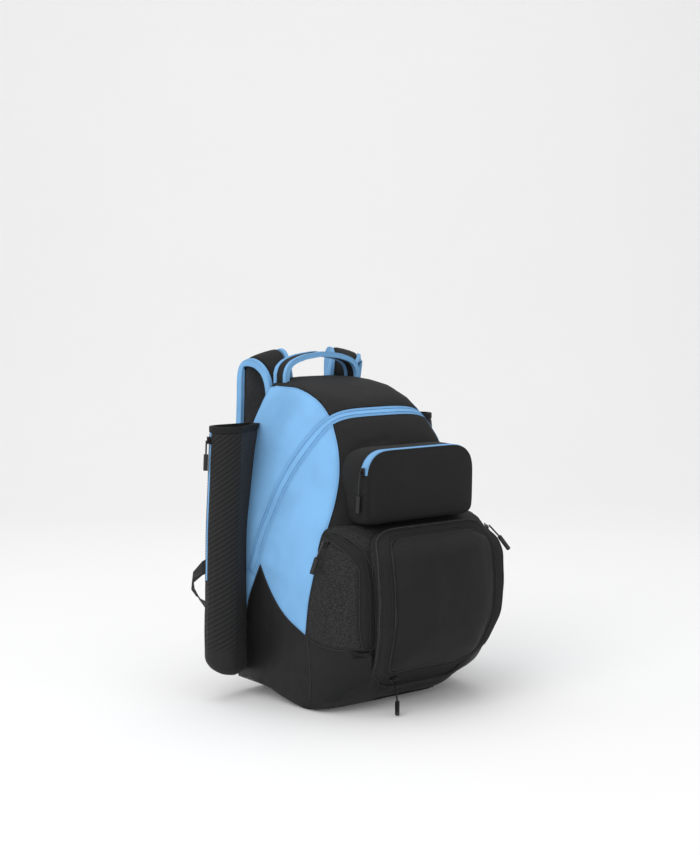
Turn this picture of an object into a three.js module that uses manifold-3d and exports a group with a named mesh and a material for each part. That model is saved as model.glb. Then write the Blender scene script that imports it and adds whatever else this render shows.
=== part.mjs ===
// A baseball backpack that stands upright on its own base: a hollow main bag made of sewn panels,
// a tub-shaped coated base, three front pockets and a yoke, two open bat sleeves, a haul handle,
// two padded shoulder straps and their webbing. Millimetres, +Z up, the front faces -Y.
import * as THREE from 'three';
import { mergeVertices } from 'three/addons/utils/BufferGeometryUtils.js';
import Module from 'manifold-3d';

const wasm = await Module();
wasm.setup();

// Main bag: depths are measured forward from its flat back
const bagHeight = 469;
const bagHalfWidth = 163;
const bagDepth = 218;
const widestDepth = 114;
const wall = 2.5;
const seamGap = 0.3;
const backEdge = 4;
const farAway = 1000;

// How the soft base settles: its flat middle rests, its rear sides and right front corner lift
const restHalfWidth = 108;
const restDepth = 170;
const rearLift = 32;
const cornerLift = 31;
const cornerTuck = 14;
const liftFade = 95;

// Front pockets
const bulgeDepth = 290;
const shelfHeight = 266;
const baseSeamHeight = 97;
const sideArchHeight = 266;
const sideArchDepth = 281;
const centreHalfWidth = 113;
const centreTop = 256;
const centreBottom = 38;
const centreCorner = 40;
const centreDepth = 300;
const centreDome = 17;
const centreLip = 8;
const centreZipWidth = 18;
const lipThickness = 3;
const topPocketHalfWidth = 103;
const topPocketTop = 374;
const topPocketBottom = 269.5;
const topPocketDepth = 254;
const topPocketLean = 4;
const topPocketCorner = 34;
const topPocketFoot = 8;
const topPocketDome = 5;
const topZipWidth = 14;
const topZipEnd = 340;

// Main zip
const mainZipWidth = 20;
const mainZipEnd = 186;

// Bat sleeves
const sleeveTop = 404;
const sleeveBottom = 34;
const sleeveReach = 66;
const sleeveFront = 64;
const sleeveBack = 4;
const sleeveSeamDepth = 43;
const sleeveWall = 2;
const sleeveRise = 24;
const hemHeight = 9;
const hemProud = 0.8;
const sleeveStripeWidth = 5;
const sleeveStripeLength = 226;
const sleeveStripeDepth = 24;

// Haul handle
const handleHalfSpan = 70;
const handleTop = 507;
const handleLegEnd = 447;
const handleWidth = 30;
const handleThickness = 6;
const handleFront = 31;
const bindingWidth = 7;
const bindingProud = 0.8;

// Shoulder straps and their webbing
const strapThickness = 11;
const strapMeshThickness = 3;
const strapHeight = 500;
const strapSpread = 120;
const strapRise = 15;
const strapSeam = 2.6;
const strapBehind = 62;
const strapSplay = 58;
const strapBindingWidth = 6;
const strapBindingProud = 0.5;
const webbingWidth = 25;
const webbingThickness = 1.8;
const webbingSpread = 190;
const webbingHeight = 198;
const lockHeight = 26;
const lockWidth = 32;
const lockThickness = 5;
const lockSlot = 3;

// Back padding
const padThickness = 9;
const padHalfWidth = 132;
const padBottom = 62;
const padTop = 404;
const padChannel = 26;
const padWeb = 4;
const padCorner = 40;

// Zip sliders and pulls
const sliderLength = 11;
const sliderWidth = 7.5;
const sliderHeight = 4;
const pullGap = 0.4;
const cordRadius = 1.3;
const cordLength = 20;
const gripRadius = 3.4;
const gripLength = 24;

// Fineness of the meshes
const quarterSteps = 7;
const backSteps = 4;
const bodyRings = 14;
const pocketRings = 12;
const cornerSteps = 4;
const pocketEdgeSteps = 3;

const colours = {
  black: { color: 0x1d1d1e, roughness: 0.85, metalness: 0 },
  coated: { color: 0x1b1b1c, roughness: 0.5, metalness: 0 },
  melange: { color: 0x2b2b2c, roughness: 0.95, metalness: 0 },
  blue: { color: 0x7db4e6, roughness: 0.8, metalness: 0 },
  mesh: { color: 0x3a3a3b, roughness: 0.95, metalness: 0 },
  webbing: { color: 0x161617, roughness: 0.7, metalness: 0 },
  plastic: { color: 0x101011, roughness: 0.4, metalness: 0 },
  metal: { color: 0x26262a, roughness: 0.35, metalness: 0.6 },
};

const pack = new THREE.Group();

// Tables: the first column is the place along the form, the others are shares of named sizes
function table(columns, rows) {
  return rows.map((row) => Object.fromEntries(columns.map((name, i) => [name, row[i]])));
}

function slopeAt(rows, key, column, i) {
  if (i === 0 || i === rows.length - 1) {
    return 0;
  }
  const before = (rows[i][column] - rows[i - 1][column]) / (rows[i][key] - rows[i - 1][key]);
  const after = (rows[i + 1][column] - rows[i][column]) / (rows[i + 1][key] - rows[i][key]);
  return before * after > 0 ? (2 * before * after) / (before + after) : 0;
}

function valueAt(rows, column, at) {
  const key = Object.keys(rows[0])[0];
  const last = rows.length - 1;
  if (at <= rows[0][key]) {
    return rows[0][column];
  }
  if (at >= rows[last][key]) {
    return rows[last][column];
  }
  const i = rows.findIndex((row) => row[key] > at) - 1;
  const span = rows[i + 1][key] - rows[i][key];
  const t = (at - rows[i][key]) / span;
  const startSlope = slopeAt(rows, key, column, i) * span;
  const endSlope = slopeAt(rows, key, column, i + 1) * span;
  const startValue = rows[i][column];
  const endValue = rows[i + 1][column];
  const rise = endValue - startValue;
  return startValue + startSlope * t + (3 * rise - 2 * startSlope - endSlope) * t * t
    + (startSlope + endSlope - 2 * rise) * t * t * t;
}

// Solids
function solidOf(geometry) {
  const bare = geometry.clone();
  bare.deleteAttribute('normal');
  bare.deleteAttribute('uv');
  const merged = mergeVertices(bare, 1e-4);
  const mesh = new wasm.Mesh({
    numProp: 3,
    vertProperties: merged.attributes.position.array,
    triVerts: Uint32Array.from(merged.index.array),
  });
  return new wasm.Manifold(mesh);
}

function geometryOf(solid) {
  const mesh = solid.getMesh();
  const geometry = new THREE.BufferGeometry();
  geometry.setAttribute('position', new THREE.BufferAttribute(Float32Array.from(mesh.vertProperties), 3));
  geometry.setIndex(new THREE.BufferAttribute(Uint32Array.from(mesh.triVerts), 1));
  return geometry;
}

function signedVolume(points, triangles) {
  const normal = new THREE.Vector3();
  return triangles.reduce((sum, [a, b, c]) => sum + points[a].dot(normal.crossVectors(points[b], points[c])), 0);
}

// A closed body through rings of equal count: capped at both ends, or joined end to end as a loop
function loft(rings, joined = false) {
  const count = rings[0].length;
  const points = rings.flat().map((point) => point.clone());
  const triangles = [];
  const pairs = joined ? rings.length : rings.length - 1;
  for (let r = 0; r < pairs; r += 1) {
    const low = r * count;
    const high = ((r + 1) % rings.length) * count;
    for (let i = 0; i < count; i += 1) {
      const next = (i + 1) % count;
      triangles.push([low + i, low + next, high + next]);
      triangles.push([low + i, high + next, high + i]);
    }
  }
  if (!joined) {
    for (const [start, turned] of [[0, true], [(rings.length - 1) * count, false]]) {
      const middle = new THREE.Vector3();
      for (let i = 0; i < count; i += 1) {
        middle.addScaledVector(points[start + i], 1 / count);
      }
      points.push(middle);
      for (let i = 0; i < count; i += 1) {
        const next = (i + 1) % count;
        const pair = turned ? [start + next, start + i] : [start + i, start + next];
        triangles.push([...pair, points.length - 1]);
      }
    }
  }
  if (signedVolume(points, triangles) < 0) {
    triangles.forEach((triangle) => triangle.reverse());
  }
  const geometry = new THREE.BufferGeometry();
  geometry.setAttribute('position', new THREE.Float32BufferAttribute(points.flatMap((p) => p.toArray()), 3));
  geometry.setIndex(triangles.flat());
  return solidOf(geometry);
}

// Cutting prisms: outlines in the side view (depth, height), front view (x, height) and plan (x, depth)
function prism(outline, from, to, first, second, along) {
  const shape = new THREE.Shape(outline.map(([a, b]) => new THREE.Vector2(a, b)));
  const geometry = new THREE.ExtrudeGeometry(shape, { depth: to - from, bevelEnabled: false });
  geometry.translate(0, 0, from);
  geometry.applyMatrix4(new THREE.Matrix4().makeBasis(first, second, along));
  return solidOf(geometry);
}

const axisX = new THREE.Vector3(1, 0, 0);
const axisZ = new THREE.Vector3(0, 0, 1);
const forward = new THREE.Vector3(0, -1, 0);
const leftward = new THREE.Vector3(-1, 0, 0);

const sidePrism = (outline, from, to) => prism(outline, -to, -from, forward, axisZ, leftward);
const frontPrism = (outline, from, to) => prism(outline, from, to, axisX, axisZ, forward);

function block(x0, x1, depth0, depth1, z0, z1) {
  const geometry = new THREE.BoxGeometry(x1 - x0, depth1 - depth0, z1 - z0);
  geometry.translate((x0 + x1) / 2, -(depth0 + depth1) / 2, (z0 + z1) / 2);
  return solidOf(geometry);
}

function addMesh(name, shape, look) {
  const geometry = shape instanceof THREE.BufferGeometry ? shape : geometryOf(shape);
  const mesh = new THREE.Mesh(geometry, new THREE.MeshStandardMaterial({ ...colours[look] }));
  mesh.geometry.computeVertexNormals();
  mesh.name = name;
  pack.add(mesh);
  return mesh;
}

// The largest of the bodies that cutting has left
function mainBody(solid) {
  return solid.decompose().sort((a, b) => b.volume() - a.volume())[0];
}

function mirrored(solid) {
  return solid.mirror([1, 0, 0]);
}

// Plan outline of the bag: a superellipse in front of its widest depth, a squarer one behind
const bagRows = table(['height', 'back', 'front', 'reach', 'square'], [
  [0, 0.957, 0.945, 0.803, 6],
  [0.026, 0.994, 0.969, 0.917, 8],
  [0.128, 1, 0.975, 0.986, 9],
  [0.277, 1, 0.975, 1, 10],
  [0.467, 1, 0.979, 1, 10],
  [0.55, 0.99, 0.895, 0.995, 8],
  [0.62, 0.966, 0.794, 0.972, 6],
  [0.714, 0.914, 0.705, 0.95, 6],
  [0.778, 0.859, 0.67, 0.931, 6],
  [0.817, 0.81, 0.655, 0.885, 6],
  [0.861, 0.748, 0.624, 0.812, 6],
  [0.895, 0.681, 0.599, 0.725, 6],
  [0.923, 0.632, 0.553, 0.679, 5],
  [0.948, 0.592, 0.547, 0.587, 5],
  [0.964, 0.558, 0.545, 0.495, 5],
  [0.976, 0.515, 0.51, 0.4, 5],
  [0.987, 0.454, 0.45, 0.29, 5],
  [0.996, 0.356, 0.356, 0.16, 4],
  [1, 0.25, 0.25, 0.06, 3.5],
]);

// The base and the bulge of the pockets above it share one outer form
const bulgeRows = table(['height', 'side', 'reach', 'square'], [
  [0, 0.965, 0.625, 16],
  [0.011, 0.972, 0.7, 13],
  [0.037, 0.985, 0.752, 9.5],
  [0.083, 0.995, 0.825, 7],
  [0.135, 1, 0.872, 6],
  [0.225, 1, 0.917, 5.5],
  [0.32, 1, 0.953, 5.4],
  [0.376, 1, 0.969, 5.4],
  [0.47, 1, 0.99, 5.4],
  [0.62, 1, 1, 5.4],
  [0.752, 1, 0.99, 5.4],
  [0.846, 1, 0.957, 5.4],
  [0.921, 0.99, 0.9, 5.4],
  [0.97, 0.975, 0.835, 5.4],
  [1, 0.96, 0.775, 5.4],
]);
const backSquare = 16;
const bulgeFrontShare = 0.969;

function bagSection(z) {
  const at = z / bagHeight;
  return {
    z,
    back: valueAt(bagRows, 'back', at) * bagHalfWidth,
    front: valueAt(bagRows, 'front', at) * bagHalfWidth,
    reach: valueAt(bagRows, 'reach', at) * bagDepth,
    square: valueAt(bagRows, 'square', at),
  };
}

function bulgeSection(z) {
  const at = z / shelfHeight;
  const side = valueAt(bulgeRows, 'side', at) * bagHalfWidth;
  return {
    z,
    back: side,
    front: side * bulgeFrontShare,
    reach: valueAt(bulgeRows, 'reach', at) * bulgeDepth,
    square: valueAt(bulgeRows, 'square', at),
    settles: true,
  };
}

function quarterPoint(angle, square) {
  const c = Math.cos(angle);
  const s = Math.sin(angle);
  const r = (Math.abs(c) ** square + Math.abs(s) ** square) ** (-1 / square);
  return [r * c, r * s];
}

// Angles of a quarter turn, closer together at its corner
function quarterAngles(steps) {
  return Array.from({ length: steps + 1 }, (_, i) => {
    const t = (2 * i) / steps - 1;
    return (Math.PI / 4) * (1 + t * (0.6 + 0.4 * t * t));
  });
}

const liftRows = table(['depth', 'lift'], [
  [0.1, 1], [0.2, 0.98], [0.33, 0.88], [0.47, 0.6], [0.58, 0.37], [0.69, 0.14], [0.76, 0],
]);

// Moves a point of the base, or of the pocket in it, to where the settled cloth lies
function settled(x, depth, z) {
  const low = Math.max(0, 1 - z / liftFade) ** 2;
  const out = Math.max(0, (Math.abs(x) - restHalfWidth) / (bagHalfWidth - restHalfWidth)) ** 1.5;
  const rear = valueAt(liftRows, 'lift', depth / bagDepth) * out * rearLift;
  const acrossShare = THREE.MathUtils.smoothstep(x, bagHalfWidth * 0.36, bagHalfWidth * 0.8);
  const corner = acrossShare * THREE.MathUtils.smoothstep(depth, widestDepth, bagDepth * 0.9);
  const tuck = cornerTuck * corner * Math.max(0, 1 - z / (2 * liftFade));
  return new THREE.Vector3(x - tuck, -depth, z + low * (rear + cornerLift * corner));
}

// One closed ring: inset moves it inwards, backInset moves its back face
function planRing(section, inset = 0, backInset = inset, lowered = 0) {
  const middle = Math.min(widestDepth, section.reach / 2);
  const half = [];
  for (const angle of quarterAngles(quarterSteps)) {
    const [across, along] = quarterPoint(Math.PI / 2 - angle, section.square);
    const depth = middle + along * (section.reach - inset - middle);
    half.push([across, depth]);
  }
  for (const angle of quarterAngles(backSteps).slice(1)) {
    const [across, along] = quarterPoint(angle, backSquare);
    half.push([across, middle - along * (middle - backInset)]);
  }
  const widthAt = (depth) => {
    const share = Math.max(0, Math.min(1, depth / section.reach));
    return section.back + (section.front - section.back) * share - inset;
  };
  const right = half.map(([across, depth]) => [across * widthAt(depth), depth]);
  const left = right.slice(1, -1).reverse().map(([x, depth]) => [-x, depth]);
  return [...right, ...left].map(([x, depth]) => (
    section.settles ? settled(x, depth, section.z) : new THREE.Vector3(x, -depth, section.z - lowered)
  ));
}

// Heights spread evenly along the front profile
function evenHeights(sectionAt, from, to, count) {
  const fine = Array.from({ length: 201 }, (_, i) => from + ((to - from) * i) / 200);
  const lengths = [0];
  for (let i = 1; i < fine.length; i += 1) {
    const step = Math.hypot(sectionAt(fine[i]).reach - sectionAt(fine[i - 1]).reach, fine[i] - fine[i - 1]);
    lengths.push(lengths[i - 1] + step);
  }
  const total = lengths[lengths.length - 1];
  return Array.from({ length: count + 1 }, (_, i) => {
    const target = (total * i) / count;
    const k = Math.min(fine.length - 2, Math.max(0, lengths.findIndex((length) => length > target) - 1));
    if (i === count) {
      return to;
    }
    return fine[k] + ((target - lengths[k]) / (lengths[k + 1] - lengths[k])) * (fine[k + 1] - fine[k]);
  });
}

// Inner face of a shell: every ring moves in and down along the profile's own normal
function shellRings(sectionAt, heights, thickness) {
  const step = 1;
  return heights.map((z) => {
    const above = sectionAt(z + step);
    const below = sectionAt(z - step);
    const frontSlope = (above.reach - below.reach) / (2 * step);
    const sideSlope = (above.back - below.back) / (2 * step);
    const length = Math.hypot(1, frontSlope);
    const drop = (-thickness * frontSlope) / length;
    const sideInset = thickness * Math.hypot(1, sideSlope) + drop * sideSlope;
    const section = sectionAt(z);
    const inset = thickness / length;
    const shrink = Math.max(sideInset, thickness / 3) - inset;
    return planRing({ ...section, back: section.back - shrink, front: section.front - shrink }, inset, thickness, drop);
  });
}

const bagHeights = evenHeights(bagSection, 0, bagHeight, bodyRings);
const bagOuter = loft(bagHeights.map((z) => planRing(bagSection(z))));
const bagInner = loft(shellRings(bagSection, [-wall, ...bagHeights.slice(1, -1)], wall));
const bagShell = bagOuter.subtract(bagInner);

// The floor ring of an inner face, one wall above the outer floor wherever that has lifted
function raised(ring, z) {
  return z > wall ? ring : ring.map((p) => settled(p.x, -p.y, 0).setX(p.x).add(new THREE.Vector3(0, 0, wall)));
}

const bulgeHeights = evenHeights(bulgeSection, 0, shelfHeight, pocketRings);
const restRing = (z, inset) => planRing({ z, back: restHalfWidth, front: restHalfWidth, reach: restDepth, square: 8 }, inset, 8);
const bulgeOuter = loft([restRing(0, 0), ...bulgeHeights.map((z) => planRing(bulgeSection(z)))]);
const floorHeights = [wall, ...bulgeHeights.filter((z) => z > 3 * wall && z < shelfHeight - 2 * wall), shelfHeight - wall];
const bulgeInner = loft([restRing(wall, 0), ...floorHeights.map((z) => raised(planRing(bulgeSection(z), wall), z))]);
const bulgeShell = bulgeOuter.subtract(bulgeInner);

// Seams, in shares of the bag's depth and height
const baseSeam = table(['depth', 'height'], [
  [0, 0.235], [0.156, 0.238], [0.179, 0.258], [0.225, 0.318], [0.289, 0.375], [0.358, 0.43], [0.422, 0.375],
  [0.518, 0.32], [0.624, 0.275], [0.755, 0.25], [0.817, 0.236], [0.91, 0.216], [1.04, 0.207],
]);
const blueSeam = table(['height', 'across'], [
  [0.44, 0.87], [0.5, 0.89], [0.55, 0.847], [0.62, 0.724], [0.714, 0.638], [0.778, 0.613], [0.817, 0.592],
  [0.861, 0.561], [0.895, 0.531], [0.923, 0.515], [0.964, 0.512], [0.976, 0.503], [0.985, 0.462], [1, 0.43],
]);
const blueFront = table(['height', 'depth'], [
  [0.235, 0.817], [0.345, 0.853], [0.467, 0.936], [0.5, 0.945],
]);
const zipPath = table(['depth', 'height', 'width'], [
  [0.725, 0.96, 0.66], [0.725, 0.905, 0.66], [0.714, 0.88, 0.75], [0.675, 0.846, 0.95], [0.623, 0.81, 1],
  [0.517, 0.737, 1], [0.445, 0.664, 1], [0.408, 0.601, 1], [0.36, 0.532, 1], [0.311, 0.462, 1], [0.254, 0.397, 1],
]);

const bulgeTopHeight = blueFront[blueFront.length - 1].height * bagHeight;
const lastFrontDepth = blueFront[blueFront.length - 1].depth * bagDepth;
const baseLine = baseSeam.map((row) => [row.depth * bagDepth, row.height * bagHeight]);
baseLine[baseLine.length - 1][1] = baseSeamHeight;
const baseFront = [bulgeDepth + farAway, baseSeamHeight];

// Everything below the base seam, moved down by a gap
function belowBaseSeam(shift) {
  const line = [[-farAway, baseLine[0][1]], ...baseLine, baseFront].map(([d, z]) => [d, z + shift]);
  return sidePrism([...line, [baseFront[0], -farAway], [-farAway, -farAway]], -farAway, farAway);
}

// Everything outside the seam between the blue sides and the black top and front
function outsideBlueSeam(shift) {
  const line = blueSeam.map((row) => [row.across * bagHalfWidth + shift, row.height * bagHeight]);
  const low = [line[0][0], -farAway];
  const high = [line[line.length - 1][0], farAway];
  const right = frontPrism([low, ...line, high, [farAway, farAway], [farAway, -farAway]], -farAway, farAway);
  return right.add(mirrored(right));
}

// Everything behind the front edge of the blue sides
function behindBlueFront(shift) {
  const line = blueFront.map((row) => [row.depth * bagDepth + shift, row.height * bagHeight]);
  const last = line[line.length - 1];
  const outline = [[line[0][0], -farAway], ...line, [farAway, last[1]], [farAway, farAway], [-farAway, farAway]];
  return sidePrism([...outline, [-farAway, -farAway]], -farAway, farAway);
}

function alongPath(path, offset) {
  return path.map((point, i) => {
    const before = path[Math.max(0, i - 1)];
    const after = path[Math.min(path.length - 1, i + 1)];
    const dx = after[0] - before[0];
    const dz = after[1] - before[1];
    const length = Math.hypot(dx, dz);
    return [point[0] - (dz / length) * offset, point[1] + (dx / length) * offset];
  });
}

const zipLine = zipPath.map((row) => [row.depth * bagDepth, row.height * bagHeight]);
zipLine[zipLine.length - 1][1] = mainZipEnd;

function zipBand(gap) {
  const halfWidths = zipPath.map((row) => (row.width * mainZipWidth) / 2 + gap);
  const one = zipLine.map((point, i) => alongPath(zipLine, halfWidths[i])[i]);
  const other = zipLine.map((point, i) => alongPath(zipLine, -halfWidths[i])[i]);
  return sidePrism([...one, ...other.reverse()], -farAway, farAway);
}

// Everything behind and above the zip, used to part the top panel from the front panel
function behindZip() {
  const bottom = zipLine[zipLine.length - 1];
  const top = zipLine[0];
  const outline = [...zipLine, [bottom[0], -farAway], [-farAway, -farAway], [-farAway, farAway], [top[0], farAway]];
  return sidePrism(outline, -farAway, farAway);
}

const frontOfBack = block(-farAway, farAway, backEdge + seamGap, farAway, -farAway, farAway);
const rightHalf = block(0, farAway, -farAway, farAway, -farAway, farAway);
const aboveBase = bagShell.subtract(belowBaseSeam(seamGap));
const zipSlot = zipBand(seamGap);
const blueOnly = aboveBase.intersect(outsideBlueSeam(seamGap / 2)).intersect(behindBlueFront(0));
const sides = blueOnly.intersect(frontOfBack).subtract(zipSlot);
const rightSide = sides.intersect(rightHalf);
addMesh('side_panel_right', rightSide, 'blue');
addMesh('side_panel_left', mirrored(rightSide), 'blue');

const blueZone = outsideBlueSeam(-seamGap / 2).intersect(behindBlueFront(seamGap));
const blackOnly = bagShell.subtract(blueZone).intersect(frontOfBack).subtract(zipSlot);
const topPanel = blackOnly.intersect(behindZip()).subtract(belowBaseSeam(seamGap));
addMesh('top_panel', mainBody(topPanel), 'black');
const frontHalf = block(-farAway, farAway, bagDepth / 2, farAway, wall + seamGap, farAway);
const frontAll = blackOnly.subtract(behindZip()).intersect(frontHalf);
const bulgeTop = bulgeHeights.filter((z) => z < bulgeTopHeight);
const insideBulge = loft([2 * wall, ...bulgeTop.slice(2), shelfHeight].map((z) => (
  planRing(bulgeSection(z), wall + seamGap)
)));
const lowFront = frontAll.intersect(insideBulge).intersect(bulgeInner.translate([0, 0, seamGap]));
const highFront = frontAll.intersect(block(-farAway, farAway, 0, farAway, bulgeTopHeight, farAway));
addMesh('front_panel', lowFront.add(highFront), 'black');
addMesh('main_zip_tape', aboveBase.intersect(frontOfBack).intersect(zipBand(0)), 'blue');
addMesh('back_panel', aboveBase.subtract(block(-farAway, farAway, backEdge, farAway, -farAway, farAway)), 'black');

// Centre pocket: a walled gusset, a zip band around its front and a domed panel
const centreRows = table(['height', 'reach'], [
  [0, 0.805], [0.05, 0.84], [0.12, 0.89], [0.22, 0.945], [0.34, 0.982], [0.48, 1], [0.66, 1], [0.82, 0.99],
  [0.93, 0.955], [1, 0.9],
]);

function centreReachAt(z) {
  const at = (z - centreBottom) / (centreTop - centreBottom);
  return valueAt(centreRows, 'reach', at) * centreDepth;
}

// A rounded rectangle in the front view, with points along its upright edges
function roundedOutline(halfWidth, bottom, top, topRadius, bottomRadius, edgeSteps) {
  const points = [];
  const corners = [
    [halfWidth - bottomRadius, bottom + bottomRadius, bottomRadius, -90],
    [halfWidth - topRadius, top - topRadius, topRadius, 0],
    [-halfWidth + topRadius, top - topRadius, topRadius, 90],
    [-halfWidth + bottomRadius, bottom + bottomRadius, bottomRadius, 180],
  ];
  corners.forEach(([x, z, radius, start], c) => {
    for (let i = 0; i <= cornerSteps; i += 1) {
      const angle = THREE.MathUtils.degToRad(start + (90 * i) / cornerSteps);
      points.push([x + radius * Math.cos(angle), z + radius * Math.sin(angle)]);
    }
    const [nextX, nextZ, nextRadius, nextStart] = corners[(c + 1) % corners.length];
    const nextAngle = THREE.MathUtils.degToRad(nextStart);
    const end = [nextX + nextRadius * Math.cos(nextAngle), nextZ + nextRadius * Math.sin(nextAngle)];
    const last = points[points.length - 1];
    for (let i = 1; i < edgeSteps; i += 1) {
      const t = i / edgeSteps;
      points.push([last[0] + (end[0] - last[0]) * t, last[1] + (end[1] - last[1]) * t]);
    }
  });
  return points;
}

// A ring of the centre pocket: narrower below, its top edge moving down less than the others
const taperRows = table(['height', 'share'], [[0, 0.85], [0.1, 0.89], [0.25, 0.95], [0.42, 1], [1, 1]]);
const topInsetShare = 0.35;

function centreRing(inset, depthAt) {
  const radius = Math.max(centreCorner - inset, centreCorner / 4);
  const top = centreTop - inset * (inset > 0 ? topInsetShare : 1);
  const outline = roundedOutline(
    centreHalfWidth - inset, centreBottom + inset, top, radius, radius, pocketEdgeSteps,
  );
  return outline.map(([x, z]) => {
    const taper = valueAt(taperRows, 'share', (z - centreBottom) / (centreTop - centreBottom));
    const at = settled(x * taper, bagDepth, z);
    return at.setY(-depthAt(x, z));
  });
}

const lipStart = 12;
const centreRoot = bagDepth * 0.9;
const gusset = loft([
  centreRing(0, () => centreRoot),
  centreRing(0, (x, z) => Math.max(centreReachAt(z) - lipStart, bagDepth + wall)),
  centreRing(-centreLip, (x, z) => centreReachAt(z) - 2 * lipThickness),
  centreRing(-centreLip, (x, z) => centreReachAt(z) - lipThickness),
  centreRing(wall, (x, z) => centreReachAt(z) - lipThickness),
  centreRing(wall, () => centreRoot),
], true);
addMesh('centre_pocket_gusset', gusset.subtract(bagOuter.translate([0, -seamGap, 0])), 'melange');
addMesh('centre_pocket_zip', loft([
  centreRing(-centreLip, (x, z) => centreReachAt(z) - lipThickness + seamGap),
  centreRing(wall, (x, z) => centreReachAt(z) - lipThickness + seamGap),
  centreRing(centreZipWidth, (x, z) => centreReachAt(z) - lipThickness + seamGap),
  centreRing(centreZipWidth, (x, z) => centreReachAt(z) + lipThickness / 2),
  centreRing(0, (x, z) => centreReachAt(z) + lipThickness / 2),
  centreRing(-centreLip, (x, z) => centreReachAt(z) - lipThickness / 3),
], true), 'black');
const panelInsets = [centreZipWidth + seamGap, 28, 48, 78];
const panelInset = panelInsets[panelInsets.length - 1];
const domeAt = (inset) => {
  const t = (inset - centreZipWidth) / (panelInset - centreZipWidth);
  return centreDome * (1 - (1 - t) ** 2);
};
const panelFace = (shift) => panelInsets.map((inset) => (
  centreRing(inset, (x, z) => centreReachAt(z) + domeAt(inset) + shift)
));
addMesh('centre_pocket_panel', loft([
  ...panelFace(lipThickness / 2).reverse(),
  ...panelFace(lipThickness / 2 - wall),
]), 'black');

// Openings of the centre pocket in the base and the yoke behind it
const wallHole = loft([centreRing(-seamGap, () => centreRoot - wall), centreRing(-seamGap, () => farAway)]);
const lipHole = loft([
  centreRing(-seamGap, (x, z) => centreReachAt(z) - lipStart - lipThickness),
  centreRing(-centreLip - seamGap, (x, z) => centreReachAt(z) - 3 * lipThickness),
  centreRing(-centreLip - seamGap, () => farAway),
]);
const centreHole = wallHole.add(lipHole);

// Base tub
const bulgeBelow = bulgeShell.intersect(belowBaseSeam(0));
addMesh('base_tub', bulgeBelow.subtract(centreHole), 'coated');

// Side pockets and yoke: the bulge above the base, parted by an arch in the side view
const archOuter = table(['depth', 'height'], [
  [0, 0.972], [0.25, 0.955], [0.47, 0.91], [0.747, 0.817], [0.933, 0.669], [1, 0.503], [0.987, 0.17], [0.987, -0.1],
]);
const archInner = table(['depth', 'height'], [
  [0, 0.93], [0.187, 0.905], [0.4, 0.855], [0.6, 0.8], [0.813, 0.675], [0.86, 0.503], [0.833, 0.17], [0.833, -0.1],
]);

function archRegion(rows, gap) {
  const line = rows.map((row) => [
    lastFrontDepth + row.depth * (sideArchDepth - lastFrontDepth),
    baseSeamHeight + row.height * (sideArchHeight - baseSeamHeight),
  ]);
  const top = alongPath(line, gap);
  const end = [top[top.length - 1][0], -farAway];
  return sidePrism([[-farAway, top[0][1]], ...top, end, [-farAway, -farAway]], -farAway, farAway);
}

const upperBulge = bulgeShell.intersect(block(-farAway, farAway, lastFrontDepth, farAway, bulgeTopHeight, farAway));
const lowerBulge = bulgeShell.subtract(behindBlueFront(seamGap));
const bulgeParts = lowerBulge.add(upperBulge.subtract(bagOuter.translate([0, -seamGap, 0])));
const bulgeAbove = bulgeParts.subtract(belowBaseSeam(seamGap)).subtract(centreHole);
addMesh('front_yoke', bulgeAbove.subtract(archRegion(archOuter, seamGap)), 'melange');
const pocketZone = bulgeAbove.intersect(archRegion(archOuter, 0));
const pocketCloth = archRegion(archInner, -seamGap);
for (const [side, half] of [['right', rightHalf], ['left', mirrored(rightHalf)]]) {
  const pocket = pocketZone.intersect(half);
  addMesh(`side_pocket_${side}`, pocket.intersect(pocketCloth), 'melange');
  addMesh(`side_pocket_zip_${side}`, pocket.subtract(archRegion(archInner, 0)), 'black');
}

// Top pocket: a shallow box with a domed front, its zip let into the top wall
function topRing(inset, depthAt) {
  const outline = roundedOutline(
    topPocketHalfWidth - inset, topPocketBottom + inset, topPocketTop - inset,
    Math.max(topPocketCorner - inset, wall), Math.max(topPocketFoot - inset, wall), 2,
  );
  return outline.map(([x, z]) => new THREE.Vector3(x, -depthAt(z), z));
}

const topInset = topPocketCorner + topPocketFoot;
const topEdge = 2 * wall;
const topFront = (z) => topPocketDepth - (topPocketLean * (topPocketTop - z)) / (topPocketTop - topPocketBottom);
const topDomeAt = (inset) => topPocketDome * (1 - (1 - inset / topInset) ** 2);
const topFace = (insets, shift) => insets.map((inset) => (
  topRing(inset, (z) => topFront(z) + topDomeAt(inset) + shift)
));
const topBack = bagSection(topPocketTop).reach - topEdge;
const topBox = loft([
  ...topFace([topInset, topInset / 2, topEdge, wall / 2], 0),
  topRing(0, (z) => topFront(z) - topEdge),
  topRing(0, () => topBack),
  topRing(wall, () => topBack),
  topRing(wall, (z) => topFront(z) - topEdge - wall / 2),
  ...topFace([1.5 * wall, topEdge, topInset / 2, topInset], -wall),
]);
const topShell = topBox.subtract(bagOuter.translate([0, -seamGap, 0]));
const topZipFront = topPocketDepth - lipThickness;
const topZipRegion = (gap) => block(
  -farAway, farAway, topZipFront - topZipWidth - gap, topZipFront + gap, topZipEnd - gap, farAway,
);
addMesh('top_pocket_body', topShell.subtract(topZipRegion(seamGap)), 'black');
addMesh('top_pocket_zip', topShell.intersect(topZipRegion(0)), 'blue');

// Bat sleeves: open cloth pockets beside the back, following the bag's sides
const sleeveRows = table(['height', 'seam', 'reach'], [
  [0, 1, 0.98], [0.3, 1, 0.97], [0.64, 1, 0.88], [0.8, 0.88, 0.81], [1, 0.58, 0.74],
]);

function sideOfBag(z, depth) {
  const section = bagSection(z);
  const share = Math.max(0, depth) / section.reach;
  const upper = section.back + (section.front - section.back) * share;
  return Math.max(upper, z < baseSeam[0].height * bagHeight + wall ? bagHalfWidth : 0);
}

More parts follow.
